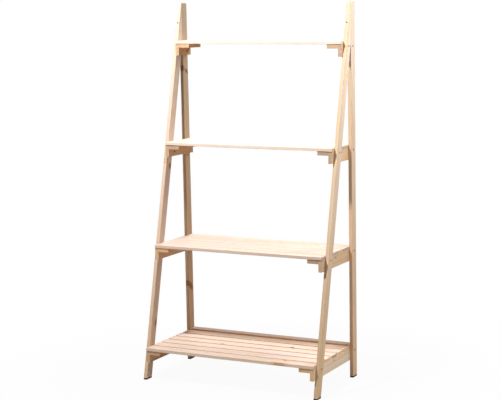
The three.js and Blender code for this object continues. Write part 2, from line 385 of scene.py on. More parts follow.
def drilled(piece, holes):
    """The piece's mesh less the closed grids of its holes."""
    if not holes:
        return
    cutter = new_piece("hole_cutter", new_mesh("hole_cutter", holes))
    cut = piece.modifiers.new("holes", "BOOLEAN")
    cut.operation = "DIFFERENCE"
    cut.solver = "EXACT"
    cut.object = cutter
    depsgraph = bpy.context.evaluated_depsgraph_get()
    result = bpy.data.meshes.new_from_object(piece.evaluated_get(depsgraph))
    piece.modifiers.clear()
    blank, piece.data = piece.data, result
    bpy.data.meshes.remove(blank)
    result.name = piece.name
    bpy.data.objects.remove(cutter)


def smoothed(mesh):
    """Smooth shading that breaks at sharp edges."""
    mesh.shade_smooth()
    mesh.set_sharp_from_angle(angle=SHARP_ANGLE)


def vectors(items, field):
    """A vector of each of a mesh's corners or faces, as an array."""
    flat = np.empty(len(items) * 3)
    items.foreach_get(field, flat)
    return flat.reshape(-1, 3)


def write_attribute(mesh, name, kind, domain, values):
    """Puts an array into a mesh attribute."""
    attribute = mesh.attributes.new(name, kind, domain)
    field = "vector" if kind == "FLOAT_VECTOR" else "value"
    attribute.data.foreach_set(field, np.ascontiguousarray(values, np.float32).ravel())


def edge_mark_with_painted_light(timber):
    """The mark of a timber's edge faces, which sets their edge tint, painted shade and painted
    light.
    """
    if timber == "back_rail":
        return BACK_RAIL_PAINTED_LIGHT_MARK
    if timber.startswith("slat"):
        return DECK_FRONT_EDGE if timber.endswith("_1") else GAP_PAINTED_SHADE_MARK
    return PLAIN_EDGE


def write_grain(piece, timber, foot_and_top, axes, seed):
    """Gives a timber its own place in a log. The grain attribute is the position along the
    grain, and across and through the timber from the log's heart, which lies to one side of the
    timber. The tint, which holds painted light and shade, goes evenly from the foot's shade to
    the top's. End and edge faces get a mark of their own strength."""
    random = np.random.default_rng(seed)
    mesh = piece.data
    corners = vectors(mesh.vertices, "co")
    low, high = corners.min(axis=0), corners.max(axis=0)
    heart = np.array([
        random.uniform(-LOG_REACH, LOG_REACH),
        random.uniform(-HEART_ASIDE, HEART_ASIDE),
        random.choice([-1, 1]) * random.uniform(HEART_NEAR, HEART_FAR)])
    axes = np.array(axes, float)
    local = (corners - (low + high) / 2) @ axes.T
    write_attribute(mesh, "grain", "FLOAT_VECTOR", "POINT", local - heart)
    bright, warm = random.uniform(-1, 1, 2) * (OWN_BRIGHTNESS, OWN_WARMTH)
    own = np.array([1 + bright, 1 + bright - 0.3 * warm, 1 + bright - warm])
    foot, top = np.array(foot_and_top)
    share = ((corners[:, Z] - low[Z]) / (high[Z] - low[Z]))[:, None]
    write_attribute(mesh, "tint", "FLOAT_VECTOR", "POINT", (foot + (top - foot) * share) * own)
    normals = np.abs(vectors(mesh.polygons, "normal") @ axes.T)
    ends = (normals[:, 0] > FACES_ALONG) * random.uniform(0.1, 1.5)
    write_attribute(mesh, "end_grain", "FLOAT", "FACE", ends)
    edges = (normals[:, 1] > FACES_ALONG) * edge_mark_with_painted_light(timber)
    write_attribute(mesh, "edge_grain", "FLOAT", "FACE", edges)
    write_knots(mesh, corners, axes, KNOTS.get(timber, ()))


def write_knots(mesh, corners, axes, knots):
    """For each knot, the distances from its branch along its long and its short axis, over its
    half length and half width, and its strength."""
    for index, name in enumerate(KNOT_NAMES):
        values = np.tile([9.0, 9.0, 0.0], (len(corners), 1))
        if index < len(knots):
            place, radius, stretch, turn, strength = knots[index]
            local = (corners - np.array(place)) @ axes.T
            cosine, sine = math.cos(math.radians(turn)), math.sin(math.radians(turn))
            values[:, 0] = (local[:, 0] * cosine + local[:, 1] * sine) / (radius * stretch)
            values[:, 1] = (local[:, 1] * cosine - local[:, 0] * sine) / radius
            values[:, 2] = strength
        write_attribute(mesh, name, "FLOAT_VECTOR", "POINT", values)


# ---------------------------------------------------------------- material nodes

def feed(tree, made, inputs):
    """Sets or links a node's inputs."""
    for place, source in inputs.items():
        if isinstance(source, bpy.types.NodeSocket):
            tree.links.new(source, made.inputs[place])
        else:
            made.inputs[place].default_value = source
    return made


def node(tree, kind, inputs=None, **settings):
    """A node with its settings and its inputs."""
    made = tree.nodes.new(kind)
    for key, value in settings.items():
        setattr(made, key, value)
    return feed(tree, made, inputs or {})


def calc(tree, operation, *values, clamp=False):
    """The output of a Math node."""
    inputs = dict(enumerate(values))
    return node(tree, "ShaderNodeMath", inputs, operation=operation, use_clamp=clamp).outputs[0]


def calc_vector(tree, operation, *values):
    """The output of a Vector Math node."""
    made = node(tree, "ShaderNodeVectorMath", dict(enumerate(values)), operation=operation)
    return made.outputs["Value" if operation in ("LENGTH", "DISTANCE") else "Vector"]


def ramp(tree, value, low, high, out_low=0.0, out_high=1.0):
    """A smooth step of the value between low and high."""
    return node(
        tree, "ShaderNodeMapRange",
        {"Value": value, "From Min": low, "From Max": high, "To Min": out_low, "To Max": out_high},
        interpolation_type="SMOOTHSTEP").outputs[0]


def mixed(tree, factor, first, second, blend="MIX"):
    """Two colours mixed, or the first blended with the second, in the share of the factor. The
    colour mix node has its factor in input 0, its colours in 6 and 7, and its result in
    output 2."""
    return node(tree, "ShaderNodeMix", {0: factor, 6: first, 7: second},
                data_type="RGBA", blend_type=blend).outputs[2]


def stretched_noise(tree, vector, along, across, detail=2.0, rough=0.55):
    """Noise drawn out along the grain. along and across are its frequencies per metre."""
    scaled = calc_vector(tree, "MULTIPLY", vector, (along, across, across))
    inputs = {"Vector": scaled, "Scale": 1.0, "Detail": detail, "Roughness": rough}
    return node(tree, "ShaderNodeTexNoise", inputs, noise_dimensions="3D")


def new_group(name, inputs, outputs):
    """An empty node group. inputs and outputs give each socket's kind."""
    tree = bpy.data.node_groups.new(name, "ShaderNodeTree")
    for way, sockets in (("INPUT", inputs), ("OUTPUT", outputs)):
        for label, kind in sockets.items():
            tree.interface.new_socket(label, in_out=way, socket_type=f"NodeSocket{kind}")
    return tree, tree.nodes.new("NodeGroupInput").outputs, tree.nodes.new("NodeGroupOutput")


def rgba(values):
    """A colour with full alpha."""
    return (*values, 1.0)


def knot_group():
    """A knot in the wood. Gives the mask of its whole patch, of its dark heart, of its rim, of
    the stained wood round it, and how far it bends the growth rings."""
    tree, given, result = new_group(
        "knot_in_pine", {"Offset": "Vector", "Grain": "Vector"},
        dict.fromkeys(("Patch", "Heart", "Rim", "Stain", "Bend"), "Float"))
    parts = node(tree, "ShaderNodeSeparateXYZ", {0: given["Offset"]})
    wobble = stretched_noise(tree, given["Grain"], *KNOT_NOISE).outputs["Fac"]
    square = calc(tree, "ADD", calc(tree, "POWER", parts.outputs[0], 2.0),
                  calc(tree, "POWER", parts.outputs[1], 2.0))
    distance = calc(tree, "SQRT", square)
    uneven = calc(tree, "ADD", distance, calc(tree, "MULTIPLY_ADD", wobble, 0.9, -0.45))
    strength = parts.outputs[2]
    present = ramp(tree, strength, 0.05, 0.5)
    dark = ramp(tree, strength, 0.4, 1.0)
    band = calc(tree, "MULTIPLY", ramp(tree, uneven, 0.7, 0.95), ramp(tree, uneven, 1.3, 1.0))
    fall = calc(tree, "EXPONENT", calc(tree, "MULTIPLY", square, -0.45))
    feed(tree, result, {
        "Patch": calc(tree, "MULTIPLY", ramp(tree, uneven, 1.1, 0.7), present),
        "Heart": calc(tree, "MULTIPLY", ramp(tree, uneven, 0.95, 0.55), dark),
        "Rim": calc(tree, "MULTIPLY", band, dark),
        "Stain": calc(tree, "MULTIPLY", fall, strength),
        "Bend": calc(tree, "MULTIPLY", fall, present)})
    return tree


def pine_group():
    """Planed pine. Growth rings are circles about the log's heart, bent by slow noise along the
    grain and round knots; on top of them lie broad and narrow streaks, fibres and resin flecks."""
    tree, given, result = new_group(
        "planed_pine",
        {"Grain": "Vector", "Tint": "Vector", "End Grain": "Float", "Edge Grain": "Float",
         "Wood": "Color", "Latewood": "Color", "Knot": "Color", "Stain": "Color",
         "Ring Spacing": "Float"} | dict.fromkeys(KNOT_NAMES, "Vector"),
        {"Colour": "Color", "Roughness": "Float", "Height": "Float"})
    grain = given["Grain"]
    knot_tree = knot_group()
    knots = [placed_group(tree, knot_tree, {"Offset": given[name], "Grain": grain})
             for name in KNOT_NAMES]

    # Growth rings
    slow = stretched_noise(tree, grain, *BEND_NOISE).outputs["Color"]
    slow = calc_vector(tree, "SUBTRACT", slow, (0.5, 0.5, 0.5))
    slow = calc_vector(tree, "MULTIPLY", slow, (0.0, RING_BEND, RING_BEND))
    moved = calc_vector(tree, "ADD", calc_vector(tree, "MULTIPLY", grain, (0.0, 1.0, 1.0)), slow)
    radius = calc_vector(tree, "LENGTH", moved)
    ripple = stretched_noise(tree, grain, *RIPPLE_NOISE).outputs["Fac"]
    ripple = calc(tree, "MULTIPLY_ADD", ripple, RING_RIPPLE, -0.5 * RING_RIPPLE)
    radius = calc(tree, "ADD", radius, ripple)
    for knot in knots:
        radius = calc(tree, "MULTIPLY_ADD", knot.outputs["Bend"], RING_BEND_AT_KNOT, radius)
    ring = calc(tree, "DIVIDE", radius, given["Ring Spacing"])
    share = calc(tree, "FRACT", ring)
    late = calc(tree, "MULTIPLY", ramp(tree, share, 0.30, 0.90), ramp(tree, share, 1.0, 0.93))
    year = node(tree, "ShaderNodeTexWhiteNoise", {"W": calc(tree, "FLOOR", ring)},
                noise_dimensions="1D").outputs["Value"]
    late = calc(tree, "MULTIPLY", late, calc(tree, "MULTIPLY_ADD", year, 0.55, 0.45))

    # Streaks, fibres and flecks
    broad, narrow, fibre, fleck = (
        stretched_noise(tree, grain, *noise).outputs["Fac"]
        for noise in (BROAD_NOISE, NARROW_NOISE, FIBRE_NOISE, FLECK_NOISE))
    fleck = ramp(tree, fleck, 0.68, 0.76)
    resin = stretched_noise(tree, grain, *RESIN_NOISE).outputs["Color"]
    resin = node(tree, "ShaderNodeSeparateXYZ", {0: resin}).outputs[2]

    level = 0.92
    for noise, strength in ((broad, BROAD_STREAKS), (narrow, NARROW_STREAKS), (fibre, FIBRES)):
        level = calc(tree, "MULTIPLY_ADD", noise, strength, level)
    level = calc(tree, "SUBTRACT", level, 0.5 * (NARROW_STREAKS + FIBRES))
    level = calc(tree, "MULTIPLY_ADD", fleck, -FLECKS, level)
    level = calc(tree, "MULTIPLY_ADD", given["End Grain"], -END_DARKENING, level)

    # The wood's colour with its latewood, resin and tints, the tints holding painted light and
    # shade
    wood = mixed(
        tree, calc(tree, "MULTIPLY", late, LATEWOOD_SHARE), given["Wood"], given["Latewood"])
    resin = ramp(tree, resin, 0.42, 0.66, 0.0, RESIN_SHARE)
    end_tint = mixed(tree, given["End Grain"], GOLDEN_END, PALE_END)
    is_end = ramp(tree, given["End Grain"], 0.0, 0.05)
    tint = mixed(tree, is_end, given["Tint"], end_tint)
    edge = given["Edge Grain"]
    painted_gap_shade = ramp(tree, edge, PLAIN_EDGE + 0.2, GAP_PAINTED_SHADE_MARK - 0.2)
    painted_back_rail_light = ramp(tree, edge, GAP_PAINTED_SHADE_MARK + 0.2, BACK_RAIL_PAINTED_LIGHT_MARK - 0.2)
    for share, factor in ((resin, RESIN_TINT), (1.0, level), (1.0, tint), (edge, EDGE_GRAIN_AND_SHADE_TINT),
                          (painted_gap_shade, GAP_PAINTED_SHADE_TINT), (painted_back_rail_light, BACK_RAIL_PAINTED_LIGHT_TINT)):
        wood = mixed(tree, share, wood, factor, "MULTIPLY")

    # Knots
    rim_colour = mixed(tree, 0.5, given["Knot"], KNOT_RIM)
    heart_colour = mixed(tree, calc(tree, "MULTIPLY", fibre, 0.4), given["Knot"], given["Stain"])
    around = (("Stain", STAIN_SHARE, given["Stain"]), ("Patch", PATCH_SHARE, given["Stain"]))
    inside = (("Heart", HEART_SHARE, heart_colour), ("Rim", RIM_SHARE, rim_colour))
    for layers in (around, inside):
        for knot in knots:
            for mask, share, colour_there in layers:
                cover = calc(tree, "MULTIPLY", knot.outputs[mask], share)
                wood = mixed(tree, cover, wood, colour_there)

    # Roughness and relief
    rough = calc(tree, "MULTIPLY_ADD", late, -0.10, 0.58)
    rough = calc(tree, "MULTIPLY_ADD", fibre, 0.12, rough)
    rough = calc(tree, "MULTIPLY_ADD", given["End Grain"], 0.15, rough)
    height = calc(tree, "MULTIPLY_ADD", late, 0.45, calc(tree, "MULTIPLY", fibre, 0.55))
    height = calc(tree, "MULTIPLY_ADD", fleck, -0.5, height)
    for knot in knots:
        height = calc(tree, "MULTIPLY_ADD", knot.outputs["Heart"], 0.5, height)
    feed(tree, result, {"Colour": wood, "Roughness": rough, "Height": height})
    return tree


def placed_group(tree, group, inputs):
    """A node group placed in a tree, its inputs set or linked."""
    return node(tree, "ShaderNodeGroup", inputs, node_tree=group)


def empty_material(name):
    """A material with a Principled shader and its output."""
    material = bpy.data.materials.new(name)
    material.use_nodes = True
    tree = material.node_tree
    tree.nodes.clear()
    shader = tree.nodes.new("ShaderNodeBsdfPrincipled")
    node(tree, "ShaderNodeOutputMaterial", {0: shader.outputs[0]})
    return material, tree, shader


def attribute(tree, name):
    """A mesh attribute's node."""
    return node(tree, "ShaderNodeAttribute", attribute_name=name, attribute_type="GEOMETRY")


def pine_material(name, wood):
    """Pine in the given colour, made once."""
    if name in bpy.data.materials:
        return bpy.data.materials[name]
    colours = bpy.context.scene.stand_colours
    group = bpy.data.node_groups.get("planed_pine") or pine_group()
    material, tree, shader = empty_material(name)
    inputs = {name: attribute(tree, name).outputs["Vector"] for name in KNOT_NAMES}
    figure = placed_group(tree, group, inputs | {
        "Grain": attribute(tree, "grain").outputs["Vector"],
        "Tint": attribute(tree, "tint").outputs["Vector"],
        "End Grain": attribute(tree, "end_grain").outputs["Fac"],
        "Edge Grain": attribute(tree, "edge_grain").outputs["Fac"],
        "Wood": rgba(wood),
        "Latewood": rgba(colours.latewood),
        "Knot": rgba(colours.knot),
        "Stain": rgba(colours.stain),
        "Ring Spacing": bpy.context.scene.stand_timber.ring_spacing,
    })
    bump = node(tree, "ShaderNodeBump", {
        "Height": figure.outputs["Height"], "Strength": 0.35, "Distance": 0.12 * MM})
    feed(tree, shader, {
        "Base Color": figure.outputs["Colour"], "Roughness": figure.outputs["Roughness"],
        "Normal": bump.outputs[0], "IOR": 1.45, "Specular IOR Level": 0.3})
    return material


def speckle_group():
    """Fine uneven speckle on Object coordinates, for rubber and for plated steel."""
    tree, given, result = new_group(
        "fine_speckle", {"Scale": "Float"}, {"Fine": "Float", "Patches": "Float"})
    place = node(tree, "ShaderNodeTexCoord").outputs["Object"]
    fine = node(tree, "ShaderNodeTexNoise", {
        "Vector": place, "Scale": given["Scale"], "Detail": 2.0})
    broad = node(tree, "ShaderNodeTexNoise", {
        "Vector": place, "Scale": calc(tree, "MULTIPLY", given["Scale"], 0.18), "Detail": 3.0})
    patches = ramp(tree, broad.outputs["Fac"], 0.35, 0.68)
    feed(tree, result, {"Fine": fine.outputs["Fac"], "Patches": patches})
    return tree


def speckle(tree, scale):
    """The speckle group placed in a material."""
    group = bpy.data.node_groups.get("fine_speckle") or speckle_group()
    return placed_group(tree, group, {"Scale": scale})


def rubber_material():
    """Matt black rubber with a little dust on it."""
    if "pad_rubber" in bpy.data.materials:
        return bpy.data.materials["pad_rubber"]
    material, tree, shader = empty_material("pad_rubber")
    marks = speckle(tree, 1400.0)
    black = rgba(bpy.context.scene.stand_colours.pad)
    dusty = calc(tree, "MULTIPLY", marks.outputs["Patches"], 0.04)
    bump = node(tree, "ShaderNodeBump", {
        "Height": marks.outputs["Fine"], "Strength": 0.4, "Distance": 0.1 * MM})
    feed(tree, shader, {
        "Base Color": mixed(tree, dusty, black, DUST),
        "Roughness": calc(tree, "MULTIPLY_ADD", marks.outputs["Patches"], 0.2, 0.7),
        "Normal": bump.outputs[0], "Specular IOR Level": 0.15})
    return material


def steel_material():
    """Plated steel, a little dull."""
    if "screw_plating" in bpy.data.materials:
        return bpy.data.materials["screw_plating"]
    material, tree, shader = empty_material("screw_plating")
    marks = speckle(tree, 2600.0)
    steel = rgba(bpy.context.scene.stand_colours.steel)
    dull = calc(tree, "MULTIPLY", marks.outputs["Patches"], 0.45)
    feed(tree, shader, {
        "Base Color": mixed(tree, dull, steel, DULL_STEEL),
        "Roughness": calc(tree, "MULTIPLY_ADD", marks.outputs["Fine"], 0.25, 0.28),
        "Metallic": 1.0})
    return material


# ---------------------------------------------------------------- timbers

def settle(piece, material, nodes):
    """Finishes a piece: its shading, material, body, and the node that it stands for."""
    smoothed(piece.data)
    piece.data.materials.clear()
    piece.data.materials.append(material)
    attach(piece, "root")
    if nodes:
        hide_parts(*nodes)


def edge_radii(places, seed):
    """Radii of the four long edges along a timber, wandering by a quarter about the mean."""
    rounding = bpy.context.scene.stand_timber.edge_rounding
    phases = np.random.default_rng(seed + EDGE_SEED_STEP).uniform(0, 1, (3, 4))
    return rounding * (1 + 0.25 * waves(places, phases))


def boxed(low, high, places, axes):
    """Centres and half sizes of equal sections at the places, from a box."""
    centres = [np.full(len(places), (low[axis] + high[axis]) / 2) for axis in axes]
    halves = [np.full(len(places), (high[axis] - low[axis]) / 2) for axis in axes]
    return centres, halves


def corners_of(node_name):
    """The low and the high corner of a node's box."""
    low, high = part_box(node_name)
    return np.array(low), np.array(high)


def drilled_timber(node_name, points, foot_and_top, axes, seed):
    """A node's timber from its sections, with the holes for its screws and its own grain."""
    name = f"{node_name}_timber"
    piece = new_piece(name, new_mesh(name, [points]))
    drilled(piece, holes_in(node_name))
    write_grain(piece, node_name, foot_and_top, axes, seed)
    return piece


def straight_timber(node_name, order, shade, seed):
    """A timber that fills its node's box. order gives the axes of width, thickness and length."""
    low, high = corners_of(node_name)
    width, thickness, along = order
    rounding = bpy.context.scene.stand_timber.end_rounding
    places, inset = rows_along(low[along], high[along], rounding)
    centres, halves = boxed(low, high, places, (width, thickness))
    points = carried(places, inset, centres, halves, edge_radii(places, seed), order)
    axes = np.eye(3)[[along, width, thickness]]
    return drilled_timber(node_name, points, (shade, shade), axes, seed)


def add_timbers(groups, kind, order, seeds):
    """Timbers that fill their nodes' boxes. groups gives the group of shades for each node that
    has no shade of its own."""
    colours = bpy.context.scene.stand_colours
    material = pine_material(f"planed_{kind}", getattr(colours, kind))
    for seed, (name, group) in enumerate(groups.items(), SEEDS[seeds]):
        piece = straight_timber(name, order, TINTS_WITH_PAINTED_SHADE.get(name, TINTS_WITH_PAINTED_SHADE[group]), seed)
        settle(piece, material, [name])


def lines(side):
    """Where the legs' edges run in the YZ plane on one side: y at a height z is start + slope z."""
    timber = bpy.context.scene.stand_timber
    front_low, front_high = corners_of(f"foot_pad_front_{side}")
    rear_low, rear_high = corners_of(f"foot_pad_rear_{side}")
    low, high = corners_of(f"rear_leg_{side}")
    rise = high[Z] - low[Z]
    rear_slope = (low[Y] - rear_low[Y]) / rise
    front_slope = (low[Y] - timber.tip_width - front_low[Y]) / rise
    return {
        "front": (front_low[Y] - front_slope * low[Z], front_slope),
        "front_span": front_high[Y] - front_low[Y],
        "rear": (rear_low[Y] - rear_slope * low[Z], rear_slope),
        "rear_span": rear_high[Y] - rear_low[Y],
    }


def front_leg_limits(places, line):
    """The front leg's front and rear edge at each height. The rear edge follows the leg's width
    up to the crotch and the rear leg's front above it."""
    gap = bpy.context.scene.stand_timber.joint_gap
    front = line["front"][0] + line["front"][1] * places
    beside = line["rear"][0] + line["rear"][1] * places - gap
    return front, np.minimum(front + line["front_span"], beside)


def crotch_height(line):
    """The height where the front leg's rear edge meets the rear leg."""
    gap = bpy.context.scene.stand_timber.joint_gap
    start = line["rear"][0] - gap - line["front"][0] - line["front_span"]
    return start / (line["front"][1] - line["rear"][1])


def leg(side, which, seed):
    """A leg: horizontal rounded rectangles carried up from the pad to the top, between the
    leaning lines of its front and rear edge."""
    timber = bpy.context.scene.stand_timber
    name = f"{which}_leg_{side}"
    low, high = corners_of(name)
    line = lines(side)
    kink = crotch_height(line)
    extra = [kink - KINK_STEP, kink, kink + KINK_STEP] if which == "front" else []
    foot = low[Z] + timber.pad_rim
    places, inset = rows_along(foot, high[Z], timber.end_rounding, extra)
    if which == "front":
        front, rear = front_leg_limits(places, line)
    else:
        front = line["rear"][0] + line["rear"][1] * places
        rear = front + line["rear_span"]
    centres = [(front + rear) / 2, np.full(len(places), (low[X] + high[X]) / 2)]
    halves = [(rear - front) / 2, np.full(len(places), (high[X] - low[X]) / 2)]
    points = carried(places, inset, centres, halves, edge_radii(places, seed), (Y, X, Z))
    lean = math.atan(line[which][1])
    axes = [[0, math.sin(lean), math.cos(lean)], [0, math.cos(lean), -math.sin(lean)], [1, 0, 0]]
    return drilled_timber(name, points, LEG_TINTS_WITH_PAINTED_LIGHT[name], axes, seed)


# ---------------------------------------------------------------- screws

def screw_profile(radius, length_of_screw):
    """Rings of a countersunk screw from the middle of its head to its tip: flat head, small
    rounded rim, cone, shank, tip."""
    fixings = bpy.context.scene.stand_fixings
    shank = fixings.shank_radius
    head = fixings.head_height
    face = np.linspace(0.04, HEAD_FLAT, 12) * radius
    rim_turn = np.linspace(np.pi / 2, 0, 4)[1:]
    rim = (1 - HEAD_FLAT) * radius
    neck, tip = 0.4 * MM, 5 * MM
    along = np.concatenate((
        np.zeros(len(face)), rim * (1 - np.sin(rim_turn)),
        [0.25 * MM, head, head + neck, length_of_screw - tip, length_of_screw]))
    radii = np.concatenate((
        face, HEAD_FLAT * radius + rim * np.cos(rim_turn),
        [radius - 0.03 * MM, shank + 0.1 * MM, shank, shank, 0.12 * MM]))
    return along, radii, len(face)


def cross_recess(radii, rows, radius, steps):
    """Depth of the driver's cross: it is deepest in the middle and fades towards its arms' ends,
    and its walls slope over a short distance from each arm's edge."""
    angle = np.arange(steps) * 2 * np.pi / steps
    x = radii[:, None] * np.cos(angle)
    y = radii[:, None] * np.sin(angle)
    beside = np.minimum(np.abs(x), np.abs(y))
    arm = np.clip((CROSS_ARM * radius - beside) / (CROSS_WALL * radius), 0, 1)
    reach = np.clip((CROSS_REACH * radius - radii[:, None]) / (CROSS_FADE * radius), 0, 1)
    deepest = bpy.context.scene.stand_fixings.cross_depth
    depth = deepest * arm * arm * (3 - 2 * arm) * reach
    depth[rows:] = 0
    return depth


def screw_points(place, direction, radius, length_of_screw, spin):
    """A screw's points, its head's face at the place, turned by the spin about its axis."""
    along, radii, rows = screw_profile(radius, length_of_screw)
    points = turned(along, radii, ROUND_STEPS, cross_recess(radii, rows, radius, ROUND_STEPS))
    turn = np.array([[math.cos(spin), math.sin(spin)], [-math.sin(spin), math.cos(spin)]])
    points[:, :, :2] = points[:, :, :2] @ turn
    return facing(points, place, direction)


def hole_points(place, direction, radius, length_of_screw):
    """The hole for a screw: open beyond the head, a cone under it, then a straight bore."""
    fixings = bpy.context.scene.stand_fixings
    shank = fixings.shank_radius
    gap = fixings.hole_gap
    along = np.array([-HOLE_OVERRUN, 0, fixings.head_height, length_of_screw + gap])
    radii = np.array([radius, radius, shank, shank]) + gap
    return facing(turned(along, radii, HOLE_STEPS), place, direction)


def frame_screws():
    """The screws that join the rails to the legs, from their nodes' boxes."""
    screws = []
    for side, sign in SIDES.items():
        for tier in TIERS:
            for which in FEET:
                name = f"screw_{tier}_{which}_{side}"
                low, high = corners_of(name)
                middle = (low + high) / 2
                screws.append({
                    "name": name, "nodes": [name],
                    "through": (f"{which}_leg_{side}", f"side_rail_{tier}_{side}"),
                    "place": (high[X] if sign > 0 else low[X], middle[Y], middle[Z]),
                    "direction": (-sign, 0, 0), "length": high[X] - low[X],
                    "radius": bpy.context.scene.stand_fixings.head_radius})
    return screws


def joint_screws():
    """The screws that join the front and rear leg near the top, square to the front edge."""
    fixings = bpy.context.scene.stand_fixings
    height = fixings.joint_screw_height
    screws = []
    for side in SIDES:
        start, slope = lines(side)["front"]
        lean = math.atan(slope)
        low, high = corners_of(f"front_leg_{side}")
        inward = np.array([0, math.cos(lean), -math.sin(lean)])
        place = np.array([(low[X] + high[X]) / 2, start + slope * height, height])
        screws.append({
            "name": f"joint_screw_{side}", "nodes": [],
            "through": (f"front_leg_{side}", f"rear_leg_{side}"),
            "place": place + inward * fixings.head_depth, "direction": inward,
            "length": fixings.joint_screw_length, "radius": fixings.joint_head_radius})
    return screws


def batten_screws():
    """The screws through the side rails into the battens, one on each side of the lower tiers."""
    fixings = bpy.context.scene.stand_fixings
    screws = []
    for side, sign in SIDES.items():
        for tier, share in BATTEN_SCREW_SHARES.items():
            rail = f"side_rail_{tier}_{side}"
            low, high = corners_of(rail)
            deck_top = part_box(f"slat_{tier}_1")[1][Z]
            outer = high[X] if sign > 0 else low[X]
            place = (outer - sign * fixings.head_depth, low[Y] + share * (high[Y] - low[Y]),
                     deck_top - fixings.batten_screw_drop)
            screws.append({
                "name": f"batten_screw_{tier}_{side}", "nodes": [],
                "through": (rail, f"batten_{tier}_{side}"),
                "place": place, "direction": (-sign, 0, 0),
                "length": fixings.batten_screw_length, "radius": fixings.batten_head_radius})
    return screws


def holes_in(node_name):
    """The holes for the screws that pass through a node's timber."""
    screws = frame_screws() + joint_screws() + batten_screws()
    return [hole_points(s["place"], s["direction"], s["radius"], s["length"])
            for s in screws if node_name in s["through"]]


def add_screws(screws, seed):
    """Makes the screws of a list, each with its own turn of the cross."""
    random = np.random.default_rng(seed)
    for screw in screws:
        spin = random.uniform(0, math.pi / 2)
        points = screw_points(
            screw["place"], screw["direction"], screw["radius"], screw["length"], spin)
        name = f"{screw['name']}_steel"
        piece = new_piece(name, new_mesh(name, [points]))
        settle(piece, steel_material(), screw["nodes"])


# ---------------------------------------------------------------- operators

class STAND_OT_legs(bpy.types.Operator):
    """Makes the four legs, with the holes for their screws"""
    bl_idname = "stand.legs"
    bl_label = "Legs"

    def execute(self, context):
        material = pine_material("planed_leg", context.scene.stand_colours.leg)
        legs = [(side, which) for side in SIDES for which in FEET]
        for seed, (side, which) in enumerate(legs, SEEDS["leg"]):
            settle(leg(side, which, seed), material, [f"{which}_leg_{side}"])
        return {"FINISHED"}


class STAND_OT_rails(bpy.types.Operator):
    """Makes the eight side rails, with the holes for their screws"""
    bl_idname = "stand.rails"
    bl_label = "Side rails"

    def execute(self, context):
        groups = {f"side_rail_{tier}_{side}": f"rails_{side}" for side in SIDES for tier in TIERS}
        add_timbers(groups, "rail", (Z, X, Y), "rail")
        return {"FINISHED"}


class STAND_OT_battens(bpy.types.Operator):
    """Makes the eight battens under the slats"""
    bl_idname = "stand.battens"
    bl_label = "Battens"

    def execute(self, context):
        groups = {f"batten_{tier}_{side}": f"battens_{side}" for side in SIDES for tier in TIERS}
        add_timbers(groups, "batten", (X, Z, Y), "batten")
        return {"FINISHED"}


class STAND_OT_slats(bpy.types.Operator):
    """Makes the slats of the four decks"""
    bl_idname = "stand.slats"
    bl_label = "Slats"

    def execute(self, context):
        groups = {f"slat_{tier}_{number + 1}": f"slats_{tier}"
                  for tier in TIERS for number in range(SLATS_IN_TIER[tier])}
        add_timbers(groups, "slat", (Y, Z, X), "slat")
        return {"FINISHED"}


class STAND_OT_back_rail(bpy.types.Operator):
    """Makes the rail behind the bottom tier's slats"""
    bl_idname = "stand.back_rail"
    bl_label = "Back rail"

    def execute(self, context):
        add_timbers({"back_rail": "back_rail"}, "slat", (Y, Z, X), "back_rail")
        return {"FINISHED"}


class STAND_OT_pads(bpy.types.Operator):
    """Makes the four rubber pads under the legs"""
    bl_idname = "stand.pads"
    bl_label = "Foot pads"

    def execute(self, context):
        timber = context.scene.stand_timber
        for side in SIDES:
            for which in FEET:
                name = f"foot_pad_{which}_{side}"
                low, high = corners_of(name)
                top = high[Z] + timber.pad_rim
                places, inset = rows_along(low[Z], top, timber.pad_rounding)
                centres, halves = boxed(low, high, places, (Y, X))
                radii = np.full((len(places), 4), timber.pad_corner)
                points = carried(places, inset, centres, halves, radii, (Y, X, Z))
                piece = new_piece(f"{name}_rubber", new_mesh(f"{name}_rubber", [points]))
                settle(piece, rubber_material(), [name])
        return {"FINISHED"}


class STAND_OT_frame_screws(bpy.types.Operator):
    """Makes the sixteen screws that join the rails to the legs"""
    bl_idname = "stand.frame_screws"
    bl_label = "Frame screws"

    def execute(self, context):
        add_screws(frame_screws(), SEEDS["frame_screws"])
        return {"FINISHED"}


class STAND_OT_other_screws(bpy.types.Operator):
    """Makes the top joints' screws and the battens' screws"""
    bl_idname = "stand.other_screws"
    bl_label = "Joint and batten screws"

    def execute(self, context):
        add_screws(joint_screws() + batten_screws(), SEEDS["other_screws"])
        return {"FINISHED"}


# ---------------------------------------------------------------- stage

FRAME_WIDTH, FRAME_HEIGHT = 500, 400
SENSOR_WIDTH = 36.0
CAMERA_PLACE = (2.41275, -4.94358, 1.45629)
CAMERA_YAW, CAMERA_PITCH, CAMERA_ROLL = 0.45459, -0.13461, -0.00767
CAMERA_FOCAL = 1411.66
CAMERA_CENTRE = (248.557, 201.208)
CAMERA_REACH = 100.0
STAND_CENTRE = Vector((0.0, 0.0, 0.7))
FLOOR_RADIUS, FLOOR_LEVEL, FLOOR_STEPS = 12.0, -0.2 * MM, 64
# Distances from the stand's middle between which the floor's shadow fades out, and how white the
# floor looks near the stand
SHADOW_FULL, SHADOW_END, FLOOR_WHITENESS = 0.3, 1.4, 0.95

# Place and width of each lamp
LAMPS = {
    "key": ((-0.38, -1.3, 2.6), 0.25),
    "right": ((1.1, 0.15, 1.6), 0.5),
    "low_right": ((2.0, -0.2, 0.55), 1.0),
    "back_left": ((-0.8, 1.8, 2.2), 0.8),
    "back_right": ((1.0, 1.2, 2.2), 0.6),
}


